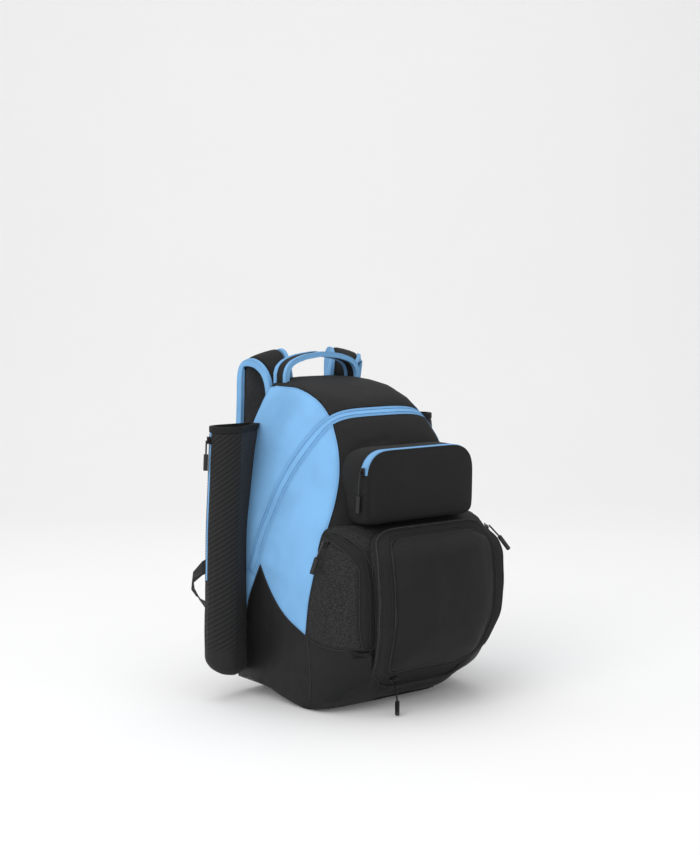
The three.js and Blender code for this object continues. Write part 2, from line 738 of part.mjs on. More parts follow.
function sleeveRing(z, inset, pinch = 0) {
  const radius = (sleeveFront - sleeveBack) / 2;
  const centreX = bagHalfWidth + valueAt(sleeveRows, 'reach', z / sleeveTop) * sleeveReach - radius;
  const centreDepth = (sleeveFront + sleeveBack) / 2;
  const round = radius - inset - pinch;
  const seamDepth = valueAt(sleeveRows, 'seam', z / sleeveTop) * sleeveSeamDepth;
  const grow = 4 * seamGap / 3 + Math.max(inset, 0);
  const back = sleeveBack + inset + pinch;
  const points = [[sideOfBag(z, seamDepth) + grow, seamDepth - inset - pinch]];
  for (let i = 0; i <= 2 * cornerSteps; i += 1) {
    const angle = THREE.MathUtils.degToRad(90 - (90 * i) / cornerSteps);
    points.push([centreX + round * Math.cos(angle), centreDepth + round * Math.sin(angle)]);
  }
  points.push([sideOfBag(z, back) + grow, back]);
  const low = Math.max(0, 1 - (z - sleeveBottom) / (2 * sleeveReach));
  return points.map(([x, depth]) => {
    const out = (x - bagHalfWidth) / sleeveReach;
    const rear = (sleeveFront - depth) / (sleeveFront - sleeveBack);
    return new THREE.Vector3(x, -depth, z + sleeveRise * Math.max(0, out) * rear * low * low);
  });
}

const sleeveShares = [0.03, 0.14, 0.6, 0.8, 1];
const sleeveCut = sleeveTop - hemHeight - seamGap;
const sleeveHeightsFrom = (start) => sleeveShares.map((share) => start + share * (sleeveCut - start));
const sleeveBox = loft([
  sleeveRing(sleeveBottom, 0, sleeveReach * 0.2),
  sleeveRing(sleeveBottom + sleeveWall, 0, sleeveReach * 0.1),
  ...sleeveHeightsFrom(sleeveBottom).map((z) => sleeveRing(z, 0)),
  ...sleeveHeightsFrom(sleeveBottom + sleeveWall).reverse().map((z) => sleeveRing(z, sleeveWall)),
  sleeveRing(sleeveBottom + sleeveWall, sleeveWall, sleeveReach * 0.15),
]);
const bagBeside = bagOuter.translate([seamGap, 0, 0]);
const sleeveHem = loft([
  sleeveRing(sleeveTop - hemHeight, -hemProud),
  sleeveRing(sleeveTop, -hemProud),
  sleeveRing(sleeveTop, sleeveWall),
  sleeveRing(sleeveTop - hemHeight, sleeveWall),
], true).subtract(bagBeside);
const stripeRegion = (gap) => block(
  bagHalfWidth + sleeveReach / 2, farAway,
  sleeveStripeDepth - gap, sleeveStripeDepth + sleeveStripeWidth + gap,
  sleeveTop - sleeveStripeLength - gap, farAway,
);
const sleeve = sleeveBox.subtract(bagBeside);
const sleeveOpenBody = sleeve.subtract(stripeRegion(seamGap));
const sleeveStripe = sleeve.intersect(stripeRegion(0));
for (const [side, place] of [['right', (solid) => solid], ['left', mirrored]]) {
  addMesh(`bat_sleeve_${side}`, place(sleeveOpenBody), 'melange');
  addMesh(`sleeve_hem_${side}`, place(sleeveHem), 'black');
  addMesh(`sleeve_zip_tape_${side}`, place(sleeveStripe), 'blue');
}

// Haul handle: a wide padded band with bound edges, standing on the top of the bag
const handlePath = [[-1, 0], [-1, 0.52], [-0.95, 0.68], [-0.82, 0.81], [-0.5, 0.93], [0, 1]].map(([across, up]) => [
  across * handleHalfSpan, handleLegEnd + up * (handleTop - handleThickness / 2 - handleLegEnd),
]);
const handleLine = [...handlePath, ...handlePath.slice(0, -1).reverse().map(([x, z]) => [-x, z])];

function handleBand(thickness, from, to) {
  const outline = [...alongPath(handleLine, thickness / 2), ...alongPath(handleLine, -thickness / 2).reverse()];
  const band = frontPrism(outline, from, to);
  return band.subtract(bagOuter.translate([0, 0, seamGap])).subtract(bagOuter.translate([0, seamGap, 0]));
}

const handleBack = handleFront - handleWidth;
const boundThickness = handleThickness + 2 * bindingProud;
const innerFront = handleFront - bindingWidth;
const innerBack = handleBack + bindingWidth;
addMesh('haul_handle', handleBand(handleThickness, innerBack + seamGap, innerFront - seamGap), 'black');
addMesh('handle_binding_front', handleBand(boundThickness, innerFront, handleFront), 'blue');
addMesh('handle_binding_back', handleBand(boundThickness, handleBack, innerBack), 'blue');

// Shoulder straps: sewn to the back at the top, arching over and hanging behind the bag
const strapRows = table(['behind', 'height', 'inner', 'outer', 'splay', 'rise'], [
  [0.102, 0.83, 0.28, 0.66, 0, 0],
  [0.102, 0.896, 0.28, 0.66, 0.05, 0],
  [0.16, 0.936, 0.27, 0.66, 0.2, 0.2],
  [0.31, 0.964, 0.24, 0.675, 0.45, 0.6],
  [0.53, 0.982, 0.2, 0.7, 0.75, 0.9],
  [0.74, 0.988, 0.18, 0.73, 0.92, 1],
  [0.92, 0.98, 0.18, 0.765, 1, 1],
  [0.99, 0.952, 0.19, 0.775, 1, 0.8],
  [1, 0.88, 0.24, 0.775, 0.9, 0.3],
  [0.97, 0.76, 0.35, 0.815, 0.6, 0],
  [0.9, 0.64, 0.45, 0.89, 0.3, 0],
  [0.84, 0.54, 0.55, 0.96, 0.1, 0],
  [0.8, 0.45, 0.7, 1.07, 0, 0],
]);

// A ring across the strap: start and end are measured from its edges, low and high from its middle
function strapRing(i, splay, edgesFor, low, high) {
  const row = strapRows[i];
  const at = (k) => {
    const other = strapRows[Math.max(0, Math.min(strapRows.length - 1, k))];
    return new THREE.Vector2(other.behind * strapBehind, other.height * strapHeight);
  };
  const tangent = at(i + 1).sub(at(i - 1)).normalize();
  const centre = at(i);
  const [start, end] = edgesFor(row.inner * strapSpread, row.outer * strapSpread);
  const round = (high - low) / 3;
  const square = [[start, low], [end, low], [end, high], [start, high]];
  const rounded = [
    [start + round, low], [end - round, low], [end, low + round], [end, high],
    [start, high], [start, low + round],
  ];
  const corners = high - low > strapThickness / 2 && end - start > strapThickness ? rounded : square;
  return corners.map(([x, across]) => {
    const share = 1 - (x - row.inner * strapSpread) / ((row.outer - row.inner) * strapSpread);
    return new THREE.Vector3(
      x + row.splay * splay,
      centre.x + tangent.y * across,
      centre.y - tangent.x * across + row.rise * strapRise * share,
    );
  });
}

const strapHalf = strapThickness / 2;
const strapSplit = strapHalf - strapMeshThickness;
const strapInside = (inner, outer) => [
  inner + strapBindingWidth + strapSeam, outer - strapBindingWidth - strapSeam,
];
const boundHalf = strapHalf + strapBindingProud;
const strapPieces = [
  ['shoulder_strap', strapInside, -strapHalf, strapSplit - strapSeam, 'black'],
  ['strap_mesh', strapInside, strapSplit, strapHalf, 'mesh'],
  ['strap_binding_inner', (inner) => [inner, inner + strapBindingWidth], -boundHalf, boundHalf, 'blue'],
  ['strap_binding_outer', (inner, outer) => [outer - strapBindingWidth, outer], -boundHalf, boundHalf, 'blue'],
];
for (const [name, edgesFor, low, high, look] of strapPieces) {
  for (const [side, splay, place] of [['right', strapSplay, (solid) => solid], ['left', 0, mirrored]]) {
    const strap = loft(strapRows.map((row, i) => strapRing(i, splay, edgesFor, low, high)));
    addMesh(`${name}_${side}`, place(strap), look);
  }
}

// Strap lock below each strap, and the webbing from it round to the base
const lastStrap = strapRows[strapRows.length - 1];
const lockX = ((lastStrap.inner + lastStrap.outer) * strapSpread) / 2;
const lockBehind = lastStrap.behind * strapBehind;
const lockTop = lastStrap.height * strapHeight - seamGap;
const lockPlate = block(
  lockX - lockWidth / 2, lockX + lockWidth / 2,
  -lockBehind - lockThickness / 2, -lockBehind + lockThickness / 2,
  lockTop - lockHeight, lockTop,
);
const lockHole = (up) => block(
  lockX - webbingWidth / 2, lockX + webbingWidth / 2, -farAway, farAway, lockTop - up - lockSlot, lockTop - up,
);
const lock = lockPlate.subtract(lockHole(lockHeight / 4)).subtract(lockHole(lockHeight / 2));

const webbingRows = table(['across', 'behind', 'height', 'wideX', 'wideY', 'wideZ'], [
  [0.56, 0.8, 1.01, 1, 0, 0.1],
  [0.62, 0.81, 0.975, 0.9, 0.1, 0.3],
  [0.75, 0.88, 0.95, 0.4, 0.4, 0.7],
  [0.88, 0.95, 0.905, -0.3, 0.75, 0.5],
  [0.985, 0.95, 0.83, -0.6, 0.78, 0.1],
  [1, 0.87, 0.745, -0.64, 0.77, 0],
  [0.945, 0.7, 0.66, -0.5, 0.6, -0.4],
  [0.86, 0.44, 0.58, -0.2, 0.2, -0.8],
  [0.79, 0.19, 0.525, 0.1, 0, -1],
  [0.775, -0.03, 0.49, 0, 0, -1],
]);

function ribbon(rows, samples) {
  const path = new THREE.CatmullRomCurve3(rows.map((row) => new THREE.Vector3(
    row.across * webbingSpread, row.behind * strapBehind, row.height * webbingHeight,
  )));
  const wide = new THREE.CatmullRomCurve3(rows.map((row) => new THREE.Vector3(row.wideX, row.wideY, row.wideZ)));
  return loft(Array.from({ length: samples + 1 }, (_, i) => {
    const t = i / samples;
    const along = path.getTangent(t);
    const width = wide.getPoint(t);
    width.addScaledVector(along, -width.dot(along)).setLength(webbingWidth / 2);
    const thick = new THREE.Vector3().crossVectors(along, width).setLength(webbingThickness / 2);
    return [[1, 1], [-1, 1], [-1, -1], [1, -1]].map(([a, b]) => (
      path.getPoint(t).addScaledVector(width, a).addScaledVector(thick, b)
    ));
  }));
}

const inFrontOfBack = block(-farAway, farAway, -seamGap, farAway, -farAway, farAway);
const aboveLock = block(-farAway, farAway, -farAway, farAway, lockTop - lockHeight - seamGap, farAway);
const webbing = ribbon(webbingRows, 13).subtract(inFrontOfBack).subtract(aboveLock);
for (const [side, place] of [['right', (solid) => solid], ['left', mirrored]]) {
  addMesh(`strap_lock_${side}`, place(lock), 'plastic');
  addMesh(`strap_webbing_${side}`, place(webbing), 'webbing');
}

// Back padding with a channel down its middle
const padOutline = roundedOutline(padHalfWidth, padBottom, padTop, padCorner, padCorner, 1);
const padBlock = frontPrism(padOutline, -seamGap - padThickness, -seamGap);
const channel = block(
  -padChannel / 2, padChannel / 2, -farAway, -seamGap - padWeb, padBottom - padWeb, padTop + padWeb,
);
addMesh('back_pad', padBlock.subtract(channel), 'mesh');


// Where a section's outline lies, across, at a depth
function acrossAt(section, depth) {
  const middle = Math.min(widestDepth, section.reach / 2);
  const along = Math.max(0, (depth - middle) / (section.reach - middle));
  const share = (1 - along ** section.square) ** (1 / section.square);
  return share * (section.back + (section.front - section.back) * (depth / section.reach));
}

// The outward direction of a section's side at a depth
function sideNormal(sectionAt, depth, z) {
  const step = wall;
  const byDepth = acrossAt(sectionAt(z), depth + step) - acrossAt(sectionAt(z), depth - step);
  const byHeight = acrossAt(sectionAt(z + step), depth) - acrossAt(sectionAt(z - step), depth);
  return new THREE.Vector3(2 * step, byDepth, -byHeight).normalize();
}

// Zip sliders: a body with a bridge, lying along its zip; the eye is where the pull hangs
function addSlider(name, at, along, outward) {
  const second = new THREE.Vector3().crossVectors(outward, along).normalize();
  const turn = new THREE.Matrix4().makeBasis(new THREE.Vector3().crossVectors(second, outward), second, outward);
  const body = new THREE.BoxGeometry(sliderLength, sliderWidth, sliderHeight * 0.6);
  body.translate(0, 0, sliderHeight * 0.3);
  const bridge = new THREE.BoxGeometry(sliderLength * 0.6, sliderWidth * 0.35, sliderHeight * 0.6);
  bridge.translate(0, 0, sliderHeight * 0.7);
  const lifted = at.clone().addScaledVector(outward, 3 * seamGap);
  const place = (geometry) => solidOf(geometry.applyMatrix4(turn).translate(lifted.x, lifted.y, lifted.z));
  addMesh(name, place(body).add(place(bridge)), 'metal');
}

function rod(from, to, radius, sides) {
  const span = new THREE.Vector3().subVectors(to, from);
  const geometry = new THREE.CylinderGeometry(radius, radius, span.length(), sides);
  const turn = new THREE.Quaternion().setFromUnitVectors(new THREE.Vector3(0, 1, 0), span.clone().normalize());
  geometry.applyQuaternion(turn);
  geometry.translate(from.x + span.x / 2, from.y + span.y / 2, from.z + span.z / 2);
  return solidOf(geometry);
}

// Zip pulls: a cord and a moulded grip in one, from the eye through a bend to the grip's end
function addPull(name, eye, cord, grip) {
  const bend = eye.clone().addScaledVector(new THREE.Vector3(...cord), cordLength);
  const end = bend.clone().addScaledVector(new THREE.Vector3(...grip), gripLength);
  const pull = rod(eye, bend, cordRadius, 6).add(rod(bend, end, gripRadius, 8));
  addMesh(name, pull, 'plastic');
}

const at = (x, depth, z) => new THREE.Vector3(x, -depth, z);
const eyeOut = sliderHeight + 3 * seamGap + pullGap + cordRadius;
const eyeOf = (place, outward) => place.clone().addScaledVector(outward, eyeOut);
const centreRise = 0.6;
const centreEyeSink = 0.7;
const sleeveSliderRise = 0.3;


const mainRow = zipLine[8];
const mainAlong = at(0, zipLine[7][0] - mainRow[0], zipLine[7][1] - mainRow[1]);
const mainAt = at(acrossAt(bagSection(mainRow[1]), mainRow[0]), ...mainRow);
const mainOut = sideNormal(bagSection, ...mainRow);
addSlider('main_slider', mainAt, mainAlong, mainOut);
addPull('main_pull', eyeOf(mainAt, mainOut), [0.2, 0, -1], [0.06, 0, -1]);

const sliderDepth = lastFrontDepth + sliderLength;
const sliderLevel = sideArchHeight - 0.07 * shelfHeight;
const rightSliderLevel = sliderLevel - 0.4 * sliderLength;
for (const [side, sign, sink, depth, level, cord, grip] of [
  ['left', -1, 2.2, sliderDepth, sliderLevel, [-0.6, 0.05, -1.1], [-0.1, 0.35, -0.95]],
  ['right', 1, 1.6, sliderDepth + 2 * sliderLength, rightSliderLevel, [1, -0.1, -0.95], [0.75, -0.05, -0.85]],
]) {
  const outward = sideNormal(bulgeSection, depth, level);
  const place = at(acrossAt(bulgeSection(level), depth), depth, level).addScaledVector(outward, -sink);
  place.x *= sign;
  outward.x *= sign;
  addSlider(`side_pocket_slider_${side}`, place, at(0, 1, -0.15), outward);
  addPull(`side_pocket_pull_${side}`, eyeOf(place, outward), cord, grip);
}

const centreSliderZ = centreBottom + centreZipWidth * 0.45;
const centreSliderAt = at(-centreHalfWidth * 0.5, centreReachAt(centreSliderZ) + lipThickness / 2, centreSliderZ);
const centreSlope = (centreReachAt(centreSliderZ + wall) - centreReachAt(centreSliderZ - wall)) / (2 * wall);
const centreOut = at(0, 1, -centreSlope).normalize();
centreSliderAt.addScaledVector(centreOut, centreRise);
addSlider('centre_slider', centreSliderAt, at(1, 0, 0), centreOut);
const centreEye = eyeOf(centreSliderAt, centreOut).addScaledVector(centreOut, -centreEyeSink);
addPull('centre_pull', centreEye, [-0.75, -1.1, -1.22], [-0.55, -0.6, -0.52]);

const topSliderAt = at(-topPocketHalfWidth, topZipFront - topZipWidth / 2, topZipEnd + sliderLength / 2);
const leftOut = at(-1, 0, 0);
addSlider('top_pocket_slider', topSliderAt, at(0, 0, 1), leftOut);
addPull('top_pocket_pull', eyeOf(topSliderAt, leftOut), [0, 0.2, -1.7], [0.02, 0.1, -1]);

const stripeMiddle = sleeveStripeDepth + sleeveStripeWidth / 2;
const tubeRadius = (sleeveFront - sleeveBack) / 2;
const sleeveSliderZ = sleeveTop - hemHeight - sliderLength;
const tubeReach = valueAt(sleeveRows, 'reach', sleeveSliderZ / sleeveTop) * sleeveReach;
const stripeAcross = bagHalfWidth + tubeReach - tubeRadius + sleeveSliderRise
  + Math.sqrt(tubeRadius ** 2 - ((sleeveFront + sleeveBack) / 2 - stripeMiddle) ** 2);
for (const [side, sign] of [['right', 1], ['left', -1]]) {
  const place = at(sign * stripeAcross, stripeMiddle, sleeveSliderZ);
  const outward = at(sign, 0, 0);
  addSlider(`sleeve_slider_${side}`, place, at(0, 0, 1), outward);
  addPull(`sleeve_pull_${side}`, eyeOf(place, outward), [sign * 0.06, 0, -1], [sign * 0.06, 0, -1]);
}

// The finished bag stands with the middle of its bounding box over the origin
const bounds = new THREE.Box3().setFromObject(pack);
const middle = bounds.getCenter(new THREE.Vector3());
pack.children.forEach((mesh) => mesh.geometry.translate(-middle.x, -middle.y, -bounds.min.z));

export default pack;
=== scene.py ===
import bpy
import bmesh
import math
import numpy as np
from mathutils import Matrix, Vector
from mathutils.bvhtree import BVHTree
from mathutils.kdtree import KDTree


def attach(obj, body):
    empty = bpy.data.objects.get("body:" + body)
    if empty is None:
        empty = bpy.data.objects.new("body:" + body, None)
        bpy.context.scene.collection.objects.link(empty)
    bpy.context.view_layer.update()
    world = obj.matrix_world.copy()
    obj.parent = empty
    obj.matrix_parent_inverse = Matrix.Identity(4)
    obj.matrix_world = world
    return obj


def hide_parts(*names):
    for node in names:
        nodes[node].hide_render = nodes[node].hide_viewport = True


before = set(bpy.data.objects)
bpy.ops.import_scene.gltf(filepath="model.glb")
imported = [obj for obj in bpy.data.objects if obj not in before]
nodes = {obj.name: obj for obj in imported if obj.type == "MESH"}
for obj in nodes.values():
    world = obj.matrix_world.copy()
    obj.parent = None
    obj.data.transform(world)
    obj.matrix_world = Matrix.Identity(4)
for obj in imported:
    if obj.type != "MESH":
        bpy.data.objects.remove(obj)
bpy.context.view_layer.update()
scene = bpy.context.scene
bagMiddle = np.array([0.0, 0.0, 0.22])
bagHalf = np.array([0.16, 0.13, 0.42])

# Camera: solved from the bag's own edges in the photograph, image 700 by 855
viewpoint = {"spot": (-1.6473, -1.9328, 0.5956), "azimuth": 40.0, "elevation": 4.5, "roll": -0.6,
             "lens": 71.58, "sensor": 36.0, "far": 30, "image": (700, 855)}


def cameraAxes():
    turn, tilt, roll = (math.radians(viewpoint[k]) for k in ("azimuth", "elevation", "roll"))
    back = Vector((-math.sin(turn) * math.cos(tilt), -math.cos(turn) * math.cos(tilt), math.sin(tilt)))
    level = Vector((math.cos(turn), -math.sin(turn), 0))
    upright = back.cross(level)
    right = level * math.cos(roll) + upright * math.sin(roll)
    up = upright * math.cos(roll) - level * math.sin(roll)
    return right, up, back


def makeCamera():
    data = bpy.data.cameras.new("photoView")
    data.lens = viewpoint["lens"]
    data.sensor_width = viewpoint["sensor"]
    data.clip_end = viewpoint["far"]
    camera = bpy.data.objects.new("photoView", data)
    scene.collection.objects.link(camera)
    turn = Matrix(cameraAxes()).transposed().to_4x4()
    camera.matrix_world = Matrix.Translation(viewpoint["spot"]) @ turn
    scene.camera = camera
    scene.view_settings.view_transform = "Standard"


makeCamera()
print("camera placed")


# Shader maths as plain expressions
class Flow:
    def __init__(self, finish, socket):
        self.finish = finish
        self.socket = socket

    def maths(self, operation, *others):
        return self.finish.add("ShaderNodeMath", {"operation": operation}, (self,) + others)

    def __add__(self, other):
        return self.maths("ADD", other)

    def __mul__(self, other):
        return self.maths("MULTIPLY", other)

    __rmul__ = __mul__

    def __sub__(self, other):
        return self.maths("SUBTRACT", other)

    def __rsub__(self, other):
        return self.finish.add("ShaderNodeMath", {"operation": "SUBTRACT"}, (other, self))


class Finish:
    def __init__(self, name):
        self.material = bpy.data.materials.new(name)
        self.material.use_nodes = True
        self.tree = self.material.node_tree
        self.tree.nodes.clear()

    def add(self, kind, settings=None, inputs=(), output=0):
        node = self.tree.nodes.new(kind)
        for key, value in (settings or {}).items():
            setattr(node, key, value)
        for key, value in inputs.items() if isinstance(inputs, dict) else enumerate(inputs):
            if isinstance(value, Flow):
                self.tree.links.new(value.socket, node.inputs[key])
            else:
                node.inputs[key].default_value = value
        return Flow(self, node.outputs[output]) if len(node.outputs) else None

    def place(self):
        return self.add("ShaderNodeTexCoord", output=3)

    def axes(self):
        split = self.add("ShaderNodeSeparateXYZ", inputs=[self.place()])
        return [Flow(self, out) for out in split.socket.node.outputs]

    def grain(self, size, detail=2.0, stretch=None):
        spot = self.place()
        if stretch:
            spot = self.add("ShaderNodeMapping", inputs={"Vector": spot, "Scale": stretch})
        return self.add("ShaderNodeTexNoise", inputs={"Vector": spot, "Scale": 1 / size, "Detail": detail})

    def blend(self, factor, first, second):
        settings = {"data_type": "RGBA"}
        return self.add("ShaderNodeMix", settings, {0: factor, 6: first, 7: second}, output=2)

    def span(self, value, low, high, newLow=0.0, newHigh=1.0):
        return self.add("ShaderNodeMapRange", {"interpolation_type": "SMOOTHSTEP"},
                        (value, low, high, newLow, newHigh))

    def close(self, colour, roughness, height=None, strength=0.3, depth=0.0005, **fixed):
        inputs = {"Base Color": colour, "Roughness": roughness}
        inputs.update({key.replace("_", " "): value for key, value in fixed.items()})
        if height is not None:
            inputs["Normal"] = self.add("ShaderNodeBump", inputs={"Strength": strength, "Distance": depth,
                                                                  "Height": height})
        shader = self.add("ShaderNodeBsdfPrincipled", inputs=inputs)
        self.add("ShaderNodeOutputMaterial", inputs=[shader])
        return self.material


def tone(colour, factor):
    return (*(min(1.0, c * factor) for c in colour), 1)


noiseRange = (0.3, 0.7)

# What all cloths share: slant of the weave, sizes in metres, ranges of noise and shares of shade
clothBase = {"slant": 0.37, "patch": 0.09, "seamReach": 0.006, "fleckRange": (0.42, 0.68),
             "patchTones": (0.88, 1.12), "seamTone": 0.45, "weaveTone": 0.5, "weaveShare": 0.14,
             "relief": (0.45, 0.55, 0.8), "roughSpread": (-0.06, 0.05), "sheenRough": 0.45}


def clothFinish(name, look):
    f = Finish(name)
    x, y, z = f.axes()
    across = (x + y) * (2 * math.pi / look["weave"])
    along = (z + clothBase["slant"] * y) * (2 * math.pi / look["weave"])
    weave = across.maths("SINE") * along.maths("SINE") * 0.5 + 0.5
    broad = f.grain(clothBase["patch"], 3.0)
    fleck = f.grain(look["fleckSize"], 3.0, (1, 1, look["fleckStretch"]))
    # Cloth is painted darker towards its seams: painted shade where the puffed cloth dips into the seam
    seam = f.add("ShaderNodeAttribute", {"attribute_name": "seam"}, output=2)
    seamShadeFade = f.span(seam, 0.0, clothBase["seamReach"])
    fleckMask = f.span(fleck, *clothBase["fleckRange"])
    patches = [tone(look["colour"], factor) for factor in clothBase["patchTones"]]
    ground = f.blend(f.span(broad, *noiseRange), *patches)
    flecked = f.blend(fleckMask * look["fleckShare"], ground, (*look["fleck"], 1))
    edgeTone = tone(look["colour"], clothBase["seamTone"])
    colour = f.blend((1.0 - seamShadeFade) * look["seamShade"], flecked, edgeTone)
    colour = f.blend(weave * clothBase["weaveShare"], colour, tone(look["colour"], clothBase["weaveTone"]))
    ofWeave, ofFleck, ofPatch = clothBase["relief"]
    height = weave * ofWeave + fleck * ofFleck + broad * ofPatch
    smoother, rougher = clothBase["roughSpread"]
    rough = f.span(fleck, *noiseRange, look["rough"] + smoother, look["rough"] + rougher)
    return f.close(colour, rough, height, look["bump"], look["depth"], Sheen_Weight=look["sheen"],
                   Sheen_Roughness=clothBase["sheenRough"], Specular_IOR_Level=look["gloss"])


clothLooks = {
    "black": {"colour": (0.015, 0.015, 0.0152), "fleck": (0.03, 0.03, 0.031), "fleckShare": 0.45,
              "fleckSize": 0.0011, "fleckStretch": 2.0, "weave": 0.0009, "rough": 0.86, "bump": 0.35,
              "depth": 0.0004, "sheen": 0.02, "gloss": 0.2, "seamShade": 0.55},
    "coated": {"colour": (0.011, 0.011, 0.0112), "fleck": (0.012, 0.012, 0.012), "fleckShare": 0.3,
               "fleckSize": 0.0022, "fleckStretch": 1.0, "weave": 0.0016, "rough": 0.5, "bump": 0.16,
               "depth": 0.0003, "sheen": 0.0, "gloss": 0.2, "seamShade": 0.4},
    "melange": {"colour": (0.015, 0.015, 0.0155), "fleck": (0.085, 0.085, 0.087), "fleckShare": 0.5,
                "fleckSize": 0.0024, "fleckStretch": 2.6, "weave": 0.0018, "rough": 0.9, "bump": 0.5,
                "depth": 0.0006, "sheen": 0.03, "gloss": 0.18, "seamShade": 0.6},
    "blue": {"colour": (0.2, 0.445, 0.76), "fleck": (0.26, 0.52, 0.83), "fleckShare": 0.3,
             "fleckSize": 0.0011, "fleckStretch": 2.0, "weave": 0.0009, "rough": 0.82, "bump": 0.3,
             "depth": 0.0004, "sheen": 0.03, "gloss": 0.2, "seamShade": 0.18},
    "mesh": {"colour": (0.075, 0.076, 0.077), "fleck": (0.13, 0.131, 0.133), "fleckShare": 0.5,
             "fleckSize": 0.0018, "fleckStretch": 0.3, "weave": 0.0034, "rough": 0.93, "bump": 0.9,
             "depth": 0.0011, "sheen": 0.1, "gloss": 0.2, "seamShade": 0.5},
    "webbing": {"colour": (0.012, 0.012, 0.0122), "fleck": (0.026, 0.026, 0.027), "fleckShare": 0.4,
                "fleckSize": 0.0012, "fleckStretch": 0.5, "weave": 0.0022, "rough": 0.72, "bump": 0.7,
                "depth": 0.0008, "sheen": 0.04, "gloss": 0.35, "seamShade": 0.4},
}


def ribbedFinish(look, ribs):
    f = Finish("sleeveCloth")
    turn = f.add("ShaderNodeAttribute", {"attribute_name": "girth"}, output=2)
    _, _, z = f.axes()
    slant = (z - ribs["slope"] * turn) * (1 / ribs["pitch"])
    wave = (slant * (2 * math.pi)).maths("SINE") * 0.5 + 0.5
    groove = f.span(wave, 0.0, ribs["groove"])
    shown = f.span(z, ribs["low"], ribs["low"] + ribs["fadeIn"])
    rib = 1.0 - (1.0 - groove) * shown
    fleck = f.grain(ribs["fleckSize"], 3.0, (1, 1, 2))
    flecked = f.span(fleck, *ribs["fleckRange"]) * ribs["fleckShare"]
    colour = f.blend(flecked, (*look["colour"], 1), (*look["fleck"], 1))
    # The grooves between the ribs are painted darker: painted shade in the grooves
    colour = f.blend((1.0 - rib) * ribs["grooveShare"], colour, tone(look["colour"], ribs["grooveTone"]))
    rough = f.span(fleck, *noiseRange, *ribs["rough"])
    return f.close(colour, rough, rib + fleck * ribs["fleckRelief"], ribs["bump"], ribs["depth"],
                   Specular_IOR_Level=ribs["gloss"], Sheen_Weight=ribs["sheen"])


hardBase = {"speckSize": 0.0007, "scuffSize": 0.006, "scuffRange": (0.45, 0.75), "scuffShare": 0.5,
            "scuffTone": 1.9, "roughRange": (0.35, 0.75), "scuffRough": 0.18, "bump": 0.18,
            "depth": 0.0002}


def hardFinish(name, colour, rough, metallic=0.0):
    f = Finish(name)
    speck = f.grain(hardBase["speckSize"], 2.0)
    scuff = f.grain(hardBase["scuffSize"], 4.0)
    scuffed = f.span(scuff, *hardBase["scuffRange"]) * hardBase["scuffShare"]
    shade = f.blend(scuffed, (*colour, 1), tone(colour, hardBase["scuffTone"]))
    rougher = f.span(scuff, *hardBase["roughRange"], rough, rough + hardBase["scuffRough"])
    return f.close(shade, rougher, speck, hardBase["bump"], hardBase["depth"], Metallic=metallic)


sleeveRibs = {"slope": -0.85, "pitch": 0.0074, "low": 0.066, "fadeIn": 0.02, "groove": 0.55,
              "grooveShare": 0.72, "grooveTone": 0.28, "fleckSize": 0.0016, "fleckRange": (0.4, 0.7),
              "fleckShare": 0.5, "fleckRelief": 0.25, "rough": (0.78, 0.9), "bump": 0.8, "depth": 0.0011,
              "gloss": 0.3, "sheen": 0.05}
finishes = {name: clothFinish(name + "Cloth", look) for name, look in clothLooks.items()}
finishes["sleeve"] = ribbedFinish(clothLooks["black"], sleeveRibs)
finishes["plastic"] = hardFinish("mouldedPlastic", (0.008, 0.008, 0.0085), 0.36)
finishes["metal"] = hardFinish("paintedSlider", (0.02, 0.02, 0.021), 0.3, 0.4)
finishes["thread"] = hardFinish("blackThread", (0.03, 0.03, 0.031), 0.6)
finishes["blueThread"] = hardFinish("blueThread", (0.15, 0.36, 0.66), 0.6)
# Near-black finish for the cords along the middle of the pocket zips: a painted shadow line where the two
# lips meet
finishes["zipShadow"] = hardFinish("paintedZipShadow", (0.004, 0.004, 0.0042), 0.6)
finishes["piping"] = hardFinish("pipingCloth", (0.014, 0.014, 0.0145), 0.6)
# Dark blue finish for the cord along the middle of the main zip: a painted shadow line where the two lips
# meet
finishes["blueZipShadow"] = hardFinish("paintedBlueZipShadow", (0.1, 0.26, 0.5), 0.55)
print("materials made")


# Cloth panels: each one is a fine, softened copy of its solid. Faces between creases make a group,
# which is a rim when its area over its border is under "narrow". A crease that bends to less than
# "straight" degrees keeps its corner
meshing = {"narrow": 0.0018, "doubles": 2e-5, "straight": 140, "rounds": 8, "step": 0.55}


def solidFaces(bm, crease):
    for edge in bm.edges:
        edge.smooth = not (len(edge.link_faces) == 2 and edge.calc_face_angle(0) > crease)
    for face in bm.faces:
        face.tag = False
    for start in bm.faces:
        if start.tag:
            continue
        start.tag = True
        group, queue = [], [start]
        while queue:
            face = queue.pop()
            group.append(face)
            for edge in face.edges:
                if edge.smooth:
                    for other in edge.link_faces:
                        if not other.tag:
                            other.tag = True
                            queue.append(other)
        area = sum(face.calc_area() for face in group)
        border = sum(edge.calc_length() for face in group for edge in face.edges if not edge.smooth)
        flow = 0
        for face in group:
            flow += face.calc_area() * face.normal.dot(face.calc_center_median() - Vector(bagMiddle))
        narrow = border > 0 and area / border < meshing["narrow"]
        for face in group:
            face.material_index = 2 if narrow else (0 if flow > 0 else 1)


